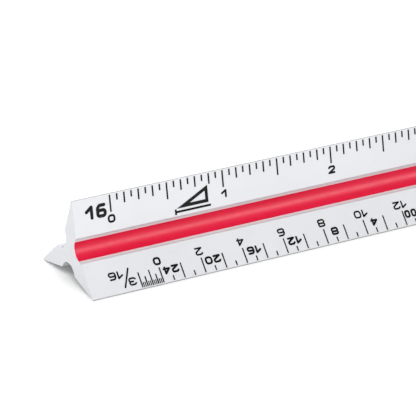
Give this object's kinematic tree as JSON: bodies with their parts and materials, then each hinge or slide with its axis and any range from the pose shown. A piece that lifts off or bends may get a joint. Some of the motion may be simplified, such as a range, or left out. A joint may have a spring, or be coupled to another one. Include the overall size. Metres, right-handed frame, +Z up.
{
  "type": "triangular scale ruler",
  "caption": "Triangular drafting ruler with a star section, colour-banded grooves and printed architect's scales along its edges.",
  "frame": {"origin": "middle of the ruler's length and depth, on the plane that its two lower blade edges rest on", "axes": "+X along the ruler, from the zero end of the inch edge; +Z up through the top blade; the red groove faces -Y"},
  "size_m": [0.324, 0.0194, 0.0168],
  "materials": {
    "white_plastic": "satin moulded white",
    "red_paint": "glossy red",
    "blue_paint": "glossy blue",
    "black_paint": "glossy black",
    "black_ink": "hot-stamped matt black"
  },
  "bodies": {
    "root": {"ruler_body": "white_plastic", "red_strip": "red_paint", "blue_strip": "blue_paint", "black_strip": "black_paint", "inch_16_print": "black_ink", "scale_3_32_3_16_print": "black_ink", "scale_1_8_1_4_print": "black_ink", "scale_1_2_1_print": "black_ink", "scale_3_8_3_4_print": "black_ink", "scale_1_1_2_3_print": "black_ink", "makers_mark": "black_ink"}
  },
  "joints": []
}
